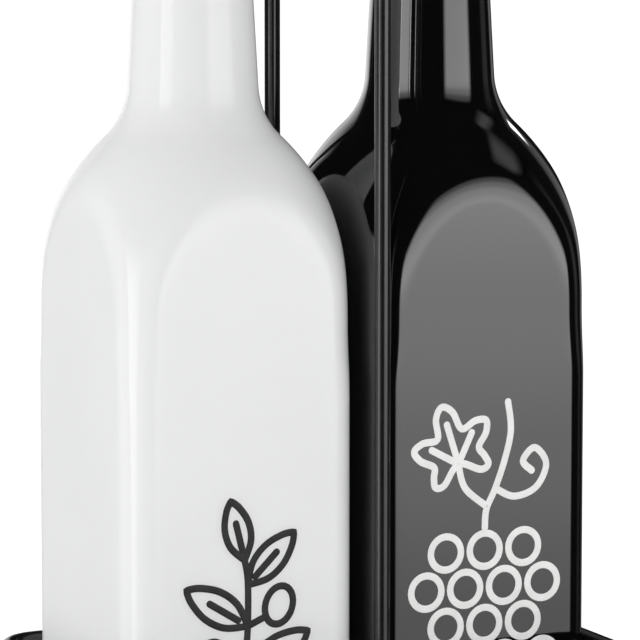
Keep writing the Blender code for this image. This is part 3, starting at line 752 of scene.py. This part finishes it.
def pourer(prefix, finishes):
    """Stopper, collar, spout, air tube and the flap with its bracket and pin."""
    mouth = mouth_frame(prefix)
    tip = mouth @ Matrix.Translation(spout_points()[-1]) @ Matrix.Rotation(SPOUT_LEAN, 4, "Y")
    body = prefix + "_pourer"

    pitch = STOPPER_LENGTH / STOPPER_RIBS
    plug = [(0, -STOPPER_LENGTH), (STOPPER_CORE - STOPPER_NOSE, -STOPPER_LENGTH)]
    for i in range(STOPPER_RIBS):
        base = -STOPPER_LENGTH + i * pitch
        plug.append((STOPPER_CORE, base + pitch * RIB_VALLEY))
        plug.append((STOPPER_RIB, base + pitch * RIB_START))
        plug.append((STOPPER_RIB, base + pitch * RIB_END))
    plug += [(STOPPER_CORE, 0), (0, 0)]
    finish_mesh(prefix + "_ribbed_stopper", placed(spun(rounded(plug, STOPPER_SOFT, 4), 96), mouth),
                finishes["rubber"], body, [prefix + "_stopper"])

    dish = COLLAR_HEIGHT - COLLAR_DISH
    cap = [(0, GAP), (COLLAR_RADIUS, GAP), (COLLAR_RADIUS, COLLAR_RIM),
           (COLLAR_HUB + COLLAR_STEP_OUT, COLLAR_STEP), (COLLAR_HUB, COLLAR_SHOULDER),
           (COLLAR_HUB, COLLAR_HEIGHT), (SPOUT_RADIUS + COLLAR_DISH, dish), (0, dish)]
    finish_mesh(prefix + "_turned_collar", placed(spun(rounded(cap, COLLAR_SOFT, 6), 128), mouth),
                finishes["steel_turned"], body, [prefix + "_collar"])

    points = spout_points()
    shares = [max(i - 1, 0) / (len(points) - 2) for i in range(len(points))]
    outer = [SPOUT_RADIUS + (SPOUT_TIP_RADIUS - SPOUT_RADIUS) * share for share in shares]
    finish_mesh(prefix + "_bent_spout", placed(tube(points, outer, SPOUT_BORE, SPOUT_LIP, 64), mouth),
                finishes["steel_long"], body, [prefix + "_spout"])

    rise = COLLAR_HEIGHT + AIR_TUBE_RISE
    back = Vector((-sin(AIR_TUBE_LEAN), 0, cos(AIR_TUBE_LEAN))) * 2 * AIR_TUBE_BEND
    elbow = Vector((-AIR_TUBE_OFFSET, 0, rise))
    foot = Vector((-AIR_TUBE_OFFSET, 0, -STOPPER_LENGTH - AIR_TUBE_BELOW))
    points = bent_path([foot, elbow, elbow + back], AIR_TUBE_BEND, steps=12)
    air_tube = tube(points, [AIR_TUBE_RADIUS] * len(points), AIR_TUBE_BORE, AIR_TUBE_LIP, 32)
    finish_mesh(prefix + "_thin_air_tube", placed(air_tube, mouth), finishes["steel_long"], body,
                [prefix + "_air_tube"])

    bracket(prefix, tip, finishes)
    lid(prefix, tip, finishes)


def bracket(prefix, tip, finishes):
    """Band round the spout, its two ears and the headed pin."""
    low = -BRACKET_SETBACK - BRACKET_LENGTH
    inner = BRACKET_RADIUS - BRACKET_WALL
    band = rounded([(inner, low), (BRACKET_RADIUS, low), (BRACKET_RADIUS, -BRACKET_SETBACK),
                    (inner, -BRACKET_SETBACK), (inner, low)], BAND_SOFT, 4)
    parts = [spun(band[1:-1] + band[1:2], 64)]
    for side in (-1, 1):
        ear = [(-EAR_ROOT, -PIN_SETBACK - KNUCKLE_RADIUS), (-EAR_ROOT, -PIN_SETBACK + KNUCKLE_RADIUS)]
        ear += arc((-PIN_OFFSET, -PIN_SETBACK), EAR_RADIUS, pi / 2, 3 * pi / 2, 12)
        plate = slab(ear, BRACKET_WALL / 2, EAR_SOFT)
        parts.append(placed(plate, Matrix.Translation((0, side * (EAR_INSIDE + BRACKET_WALL / 2), 0))))
    finish_mesh(prefix + "_eared_bracket", placed(merged(*parts), tip), finishes["steel_turned"],
                prefix + "_pourer", [prefix + "_flap_bracket"])
    head = EAR_INSIDE + BRACKET_WALL + GAP
    rivet = [(0, -head - PIN_HEAD), (PIN_HEAD_RADIUS, -head - PIN_HEAD), (PIN_HEAD_RADIUS, -head),
             (PIN_RADIUS, -head), (PIN_RADIUS, head), (PIN_HEAD_RADIUS, head),
             (PIN_HEAD_RADIUS, head + PIN_HEAD), (0, head + PIN_HEAD)]
    rivet_piece = placed(spun(rounded(rivet, PIN_SOFT, 4), 40), tip @ pin_place())
    finish_mesh(prefix + "_riveted_pin", rivet_piece, finishes["steel_turned"], prefix + "_pourer",
                [prefix + "_flap_pin"])


def lid(prefix, tip, finishes):
    """Round lid with its arm, bored knuckle and thumb lever."""
    pin = Vector((-PIN_OFFSET, -PIN_SETBACK))
    top = GAP + LID_THICKNESS
    outside = pin.x - KNUCKLE_RADIUS
    inside = outside + KNUCKLE_WALL
    lap = ARM_LAP - LID_RADIUS
    side = [(lap, GAP), (lap, top)]
    side += arc((outside + ARM_CUT, top - ARM_CUT), ARM_CUT, pi / 2, pi, 6)
    side += [(outside, pin.y), (inside, pin.y), (inside, GAP - ARM_CUT), (inside + ARM_CUT, GAP)]
    arm = slab(side, ARM_WIDTH / 2, ARM_SOFT)

    end = KNUCKLE_WIDTH / 2
    wall = [(KNUCKLE_BORE, 0), (KNUCKLE_BORE, -end), (KNUCKLE_RADIUS, -end), (KNUCKLE_RADIUS, end),
            (KNUCKLE_BORE, end), (KNUCKLE_BORE, 0)]
    barrel = placed(spun(rounded(wall, ARM_SOFT, 4), 64), pin_place())

    outward = Vector((-sin(LEVER_ANGLE), cos(LEVER_ANGLE)))
    across = Vector((outward.y, -outward.x)) * ARM_THICKNESS / 2
    root = pin + outward * (KNUCKLE_BORE + KNUCKLE_WALL / 2)
    far = pin + outward * LEVER_LENGTH
    lever = slab([root + across, far + across, far - across, root - across], LEVER_WIDTH / 2, LID_SOFT)
    whole = merged(disc(LID_RADIUS, GAP, top, LID_SOFT), arm, barrel, lever)
    finish_mesh(prefix + "_thumb_flap", placed(whole, tip), finishes["steel_turned"],
                prefix + "_flap_body", [prefix + "_flap"])


# ---- caddy

def node_middle(node):
    """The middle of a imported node's box."""
    low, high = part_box(node)
    return (low + high) / 2


def ring(name, node, finish):
    """A closed wire ring with round corners in place of its node."""
    low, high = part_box(node)
    radius = (high.z - low.z) / 2
    middle = (low.z + high.z) / 2
    left, right = low.x + radius, high.x - radius
    front, back = low.y + radius, high.y - radius
    corners = [(right, back, middle), (left, back, middle), (left, front, middle), (right, front, middle)]
    points = divided(bent_path(corners, RING_CORNER, closed=True), RING_PITCH, closed=True)
    finish_mesh(name, swept(points, [radius] * len(points), 40, closed=True), finish, "caddy",
                [node])


def straight_wire(name, node, axis, finish, run_in=0):
    """A straight wire along one axis in place of its node; run_in carries it into what it is welded to."""
    low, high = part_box(node)
    middle = (low + high) / 2
    radius = min(high[i] - low[i] for i in range(3)) / 2
    ends = []
    for edge, sign in ((low, -1), (high, 1)):
        point = middle.copy()
        point[axis] = edge[axis] + sign * run_in
        ends.append(point)
    points, radii = soft_ends(divided(ends, WIRE_PITCH), radius, WIRE_END)
    finish_mesh(name, swept(points, radii, 32), finish, "caddy", [node])


def handle(finish):
    """The tall hoop, bent from one wire; returns its leg's place and the wire's radius."""
    low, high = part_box("handle")
    radius = (high.x - low.x) / 2
    x = (low.x + high.x) / 2
    front, back, top = low.y + radius, high.y - radius, high.z - radius
    legs = [(x, front, low.z), (x, front, top), (x, back, top), (x, back, low.z)]
    path = divided(bent_path(legs, HANDLE_BEND, steps=24), HANDLE_PITCH)
    points, radii = soft_ends(path, radius, WIRE_END)
    finish_mesh("caddy_handle", swept(points, radii, 40), finish, "caddy", ["handle"])
    return x, back, radius


def weld(point, direction, across, seed):
    """A small lumpy bead of weld where two wires cross."""
    bm = bmesh.new()
    bmesh.ops.create_icosphere(bm, subdivisions=3, radius=1.0)
    for vert in bm.verts:
        lump = noise.noise(vert.co * WELD_LUMP_SCALE + Vector((seed, 0, 0)))
        vert.co *= 1 + WELD_LUMPS * lump
    third = direction.cross(across).normalized()
    axes = (direction.normalized() * WELD_REACH * WELD_LONG, across.normalized() * WELD_REACH * WELD_LONG,
            third * WELD_REACH * WELD_HIGH)
    return placed(bm, Matrix.Translation(point) @ Matrix(axes).transposed().to_4x4())


def welds(finish, posts, leg):
    """Every bead of the caddy in one piece."""
    along_x, along_y, up = Vector((1, 0, 0)), Vector((0, 1, 0)), Vector((0, 0, 1))
    rim, base, divider = (node_middle(node) for node in ("upper_ring", "lower_ring", "divider_wire"))
    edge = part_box("upper_ring")[1].y - WELD_INSET
    leg_x, leg_y, leg_radius = leg
    beads = []
    for node in posts:
        post = node_middle(node)
        side = along_y if node in ("post_left", "post_right") else along_x
        for level in (rim.z - WELD_INSET, base.z + WELD_INSET):
            beads.append(weld(Vector((post.x, post.y, level)), side, up, len(beads)))
    for node in floor_wires():
        wire = node_middle(node)
        for sign in (-1, 1):
            point = Vector((wire.x, sign * (edge - FLOOR_WELD_INSET), (base.z + wire.z) / 2))
            beads.append(weld(point, along_x, along_y, len(beads)))
    for sign in (-1, 1):
        crossing = Vector((0, sign * (edge - WELD_INSET), divider.z))
        beads.append(weld(crossing, along_y, along_x, len(beads)))
        for level in (divider.z, base.z + HANDLE_WELD_ABOVE_BASE):
            beside_leg = Vector((leg_x - leg_radius, sign * leg_y, level))
            beads.append(weld(beside_leg, along_y, up, len(beads)))
    finish_mesh("caddy_welds", merged(*beads), finish, "caddy", sharp=80)


def floor_wires():
    """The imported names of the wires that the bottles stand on."""
    return [f"floor_wire_{number}" for number in range(1, FLOOR_WIRES + 1)]


def caddy(finish):
    """Two rings, posts, floor wires, divider and handle, with the beads that join them."""
    posts = ["post_front_left", "post_front_right", "post_back_left", "post_back_right", "post_left",
             "post_right"]
    ring("caddy_rim", "upper_ring", finish)
    ring("caddy_base_ring", "lower_ring", finish)
    for node in posts:
        straight_wire("caddy_" + node, node, 2, finish, WIRE_RUN_IN)
    for node in floor_wires():
        straight_wire("caddy_" + node.replace("_wire", ""), node, 1, finish)
    straight_wire("caddy_divider", "divider_wire", 1, finish, WIRE_RUN_IN)
    leg = handle(finish)
    welds(finish, posts, leg)


def feet(finish):
    """Rubber feet pushed onto the lower ring, with a hollow sole and a moulded waist."""
    for node in ("foot_front_left", "foot_front_right", "foot_back_left", "foot_back_right"):
        low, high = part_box(node)
        middle = (low + high) / 2
        radius = (high.x - low.x) / 2
        tall = high.z - low.z
        below, waist, above = (tall * level for level in FOOT_WAIST_LEVELS)
        outline = [(0, FOOT_SOLE_HOLLOW), (radius - FOOT_SOLE_INSIDE, FOOT_SOLE_HOLLOW),
                   (radius - FOOT_SOLE_OUTSIDE, 0), (radius - FOOT_TREAD, 0), (radius, FOOT_TREAD_RISE),
                   (radius, below), (radius - FOOT_WAIST, waist), (radius, above), (radius, tall),
                   (radius - FOOT_TOP_INSIDE, tall), (0, tall)]
        made = placed(spun(rounded(outline, FOOT_SOFT, 5), 96),
                      Matrix.Translation((middle.x, middle.y, low.z)))
        finish_mesh(node + "_rubber", made, finish, "caddy", [node])


# ---- studio

VIEW_AZIMUTH = radians(-26)
VIEW_ELEVATION = radians(8.73)
VIEW_DISTANCE = 1.300
VIEW_TARGET = Vector((2.03 * MM, 0, 153.22 * MM))
VIEW_LENS = 299.85
VIEW_SENSOR = 36
SURROUNDINGS_SEEN = (1, 1, 1, 1)
SURROUNDINGS_IN_GLOSS = (0.008, 0.008, 0.008, 1)
SURROUNDINGS_AS_LIGHT = (0.84, 0.84, 0.843, 1)
FLOOR_RADIUS = 6.0
FLOOR_COLOUR = (0.82, 0.82, 0.82, 1)
FLOOR_GLOW = 0.40


def camera():
    """The camera, on a long lens from the front left."""
    data = bpy.data.cameras.new("camera")
    data.lens = VIEW_LENS
    data.sensor_width = VIEW_SENSOR
    data.clip_start, data.clip_end = 0.05, 40
    made = bpy.data.objects.new("camera", data)
    back = Vector((sin(VIEW_AZIMUTH) * cos(VIEW_ELEVATION), -cos(VIEW_AZIMUTH) * cos(VIEW_ELEVATION),
                   sin(VIEW_ELEVATION)))
    made.location = VIEW_TARGET + back * VIEW_DISTANCE
    made.rotation_mode = "QUATERNION"
    made.rotation_quaternion = (-back).to_track_quat("-Z", "Y")
    bpy.context.scene.collection.objects.link(made)
    bpy.context.scene.camera = made


def shine_only_on(light, pieces):
    """Let a light or a glowing card reach only the pieces that are given."""
    only = bpy.data.collections.new(light.name + "_only")
    for piece in pieces:
        only.objects.link(piece)
    light.light_linking.receiver_collection = only


def card(name, azimuth, distance, width, height, centre, power, levels, fade):
    """An upright glowing card round the object, with soft side edges.

    Azimuth 0 is in front of the object, positive to the right. Levels are (height, share of the
    power) from the card's foot up, and fade is the share of the width that each side edge takes.
    """
    bm = bmesh.new()
    bmesh.ops.create_grid(bm, x_segments=1, y_segments=1, size=0.5)
    bmesh.ops.scale(bm, vec=(width, height, 1), verts=bm.verts)
    bmesh.ops.translate(bm, vec=(0, centre, 0), verts=bm.verts)
    mesh = bpy.data.meshes.new(name)
    bm.to_mesh(mesh)
    bm.free()
    made = bpy.data.objects.new(name, mesh)
    turn = radians(azimuth)
    made.matrix_world = (Matrix.Translation((sin(turn) * distance, -cos(turn) * distance, 0))
                         @ Matrix.Rotation(turn, 4, "Z") @ Matrix.Rotation(pi / 2, 4, "X"))
    made.visible_camera = False
    made.visible_diffuse = False
    made.visible_shadow = False
    bpy.context.scene.collection.objects.link(made)

    glow = bpy.data.materials.new(name)
    glow.use_nodes = True
    nodes, links = glow.node_tree.nodes, glow.node_tree.links
    nodes.clear()
    skin = Skin(glow, nodes, links, None)
    place = nodes.new("ShaderNodeTexCoord")
    axes = nodes.new("ShaderNodeSeparateXYZ")
    links.new(place.outputs["Object"], axes.inputs[0])
    low = centre - height / 2
    rise = spread(skin, axes.outputs["Y"], 0, 1, low, low + height)
    ramp = nodes.new("ShaderNodeValToRGB")
    ramp.color_ramp.interpolation = "EASE"
    stops = ramp.color_ramp.elements
    while len(stops) < len(levels):
        stops.new(1.0)
    for stop, (level, share) in zip(stops, levels):
        stop.position = (level - low) / height
        stop.color = (share, share, share, 1)
    links.new(rise, ramp.inputs[0])
    aside = nodes.new("ShaderNodeMath")
    aside.operation = "ABSOLUTE"
    links.new(axes.outputs["X"], aside.inputs[0])
    edge = spread(skin, aside.outputs[0], power, 0, width * (0.5 - fade), width * 0.5)
    emission = nodes.new("ShaderNodeEmission")
    links.new(ramp.outputs["Color"], emission.inputs["Color"])
    links.new(edge, emission.inputs["Strength"])
    out = nodes.new("ShaderNodeOutputMaterial")
    links.new(emission.outputs[0], out.inputs["Surface"])
    mesh.materials.append(glow)
    return made


def soft_box(name, azimuth, distance, size, height, power, lit=None):
    """A square soft light aimed at the object; with lit, it reaches only those pieces, gloss and all."""
    light = bpy.data.lights.new(name, "AREA")
    light.shape = "SQUARE"
    light.size = size
    light.energy = power
    made = bpy.data.objects.new(name, light)
    turn = radians(azimuth)
    made.location = (sin(turn) * distance, -cos(turn) * distance, height)
    made.rotation_mode = "QUATERNION"
    made.rotation_quaternion = (made.location - VIEW_TARGET).to_track_quat("Z", "Y")
    made.visible_camera = False
    made.visible_glossy = lit is not None
    bpy.context.scene.collection.objects.link(made)
    if lit:
        shine_only_on(made, lit)


def shoulder_lamp(black_bottle):
    """The small lamp that draws a bright lens on the black shoulder."""
    lamp = [(0.42, 0.0), (0.47, 1.0), (0.57, 1.0), (0.62, 0.0)]
    made = card("back_right_lamp", 126, 0.90, 0.16, 0.20, 0.52, 6.0, lamp, 0.2)
    shine_only_on(made, [black_bottle])


def steel_lights():
    """Soft boxes all round that only the bright metal sees, so that it reads as steel from every side."""
    metal = [piece for piece in bpy.context.scene.objects if piece.type == "MESH"
             and piece.data.materials and piece.data.materials[0].name.startswith("steel")]
    boxes = ((-75, 0.9, 6.0), (15, 0.5, 3.0), (100, 0.8, 5.0), (195, 0.6, 5.0), (-130, 0.4, 3.0))
    for azimuth, height, power in boxes:
        soft_box(f"steel_box_{azimuth % 360}", azimuth, 1.3, 0.9, height, power, metal)
    soft_box("steel_box_top", 40, 0.5, 1.0, 1.8, 6.0, metal)


def studio():
    """White surroundings to look at, dark ones to reflect, with upright soft lights."""
    world = bpy.data.worlds.new("studio")
    world.use_nodes = True
    nodes, links = world.node_tree.nodes, world.node_tree.links
    nodes.clear()
    out = nodes.new("ShaderNodeOutputWorld")
    ray = nodes.new("ShaderNodeLightPath")
    white, dark, soft = (nodes.new("ShaderNodeBackground") for _ in range(3))
    white.inputs["Color"].default_value = SURROUNDINGS_SEEN
    dark.inputs["Color"].default_value = SURROUNDINGS_IN_GLOSS
    soft.inputs["Color"].default_value = SURROUNDINGS_AS_LIGHT
    gloss = nodes.new("ShaderNodeMixShader")
    seen = nodes.new("ShaderNodeMixShader")
    links.new(ray.outputs["Is Glossy Ray"], gloss.inputs[0])
    links.new(soft.outputs[0], gloss.inputs[1])
    links.new(dark.outputs[0], gloss.inputs[2])
    links.new(ray.outputs["Is Camera Ray"], seen.inputs[0])
    links.new(gloss.outputs[0], seen.inputs[1])
    links.new(white.outputs[0], seen.inputs[2])
    links.new(seen.outputs[0], out.inputs["Surface"])
    bpy.context.scene.world = world
    bpy.context.scene.view_settings.view_transform = "Standard"

    front = [(-0.40, 0.28), (-0.16, 0.36), (-0.05, 0.54), (0.02, 0.70), (0.10, 1.0), (0.30, 0.8),
             (0.46, 0.5), (0.60, 0.22), (0.75, 0.0)]
    side = [(-0.40, 0.5), (-0.10, 0.8), (0.08, 1.0), (0.36, 0.8), (0.50, 0.3), (0.62, 0.0)]
    behind = [(-0.40, 0.28), (-0.05, 0.5), (0.10, 1.0), (0.40, 0.6), (0.75, 0.0)]
    high = [(0.70, 0.0), (0.85, 1.0), (1.10, 1.0), (1.30, 0.0)]
    card("front_right_card", 25.5, 0.95, 0.96, 1.15, 0.175, 2.5, front, 0.13)
    card("left_card", -73, 0.80, 0.29, 1.02, 0.11, 2.7, side, 0.12)
    card("left_card_edge", -82, 0.79, 0.030, 1.02, 0.11, 7.0, side, 0.3)
    card("left_card_second_edge", -62, 0.79, 0.020, 1.02, 0.11, 6.0, side, 0.3)
    card("left_line", -52, 0.80, 0.020, 1.02, 0.11, 3.5, side, 0.3)
    card("left_faint_line", -45, 0.80, 0.040, 1.02, 0.11, 1.4, side, 0.3)
    card("high_right_glow", 80, 0.90, 0.60, 0.60, 1.0, 0.35, high, 0.4)
    card("back_card", 176, 0.95, 0.68, 1.15, 0.175, 1.0, behind, 0.25)
    card("right_glow", 90, 0.95, 0.36, 1.15, 0.175, 0.12, behind, 0.3)
    card("back_right_glow", 122, 0.95, 0.30, 1.15, 0.175, 0.25, behind, 0.3)
    soft_box("fill_left", -100, 1.5, 1.2, 0.7, 4.0)


def floor():
    """A wide pale floor that glows a little, so that it meets the pale surroundings."""
    bm = bmesh.new()
    bmesh.ops.create_circle(bm, cap_ends=True, segments=128, radius=FLOOR_RADIUS)
    mesh = bpy.data.meshes.new("floor")
    bm.to_mesh(mesh)
    bm.free()
    made = bpy.data.objects.new("floor", mesh)
    bpy.context.scene.collection.objects.link(made)
    paper = new_skin("floor_paper", Roughness=0.9, Base_Color=FLOOR_COLOUR, Specular_IOR_Level=0.1,
                     Emission_Color=(1, 1, 1, 1), Emission_Strength=FLOOR_GLOW)
    mesh.materials.append(paper.material)
    made.visible_glossy = False


def main():
    """Finishes, studio, bottles with their motifs and pourers, caddy, feet."""
    finishes = {
        "white_glass": white_glass(), "black_glass": black_glass(), "black_wire": black_wire(),
        "steel_turned": steel("steel_turned", (1, 1, 6)), "steel_long": steel("steel_drawn", (6, 6, 1)),
        "rubber": rubber(),
        "dark_line": paint("dark_line_paint", (0.012, 0.012, 0.013), (0.022, 0.022, 0.023)),
        "pale_line": paint("pale_line_paint", (0.80, 0.80, 0.79), (0.88, 0.88, 0.87)),
    }
    camera()
    studio()
    floor()
    bottle("oil_bottle_glass", "oil_bottle_body", finishes["white_glass"], "oil_bottle")
    black_bottle = bottle("vinegar_bottle_glass", "vinegar_bottle_body", finishes["black_glass"],
                          "vinegar_bottle")
    for prefix, strokes, finish, slot in (("oil", olive_sprig(), "dark_line", "black_glass"),
                                          ("vinegar", grape_bunch(), "pale_line", "white_glass")):
        low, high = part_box(prefix + "_bottle")
        line_piece(prefix + "_painted_motif", strokes, finishes[finish], prefix + "_bottle_body",
                   ((low.x + high.x) / 2, low.y, low.z))
        pourer(prefix, finishes)
    caddy(finishes["black_wire"])
    feet(finishes["rubber"])
    steel_lights()
    shoulder_lamp(black_bottle)


main()
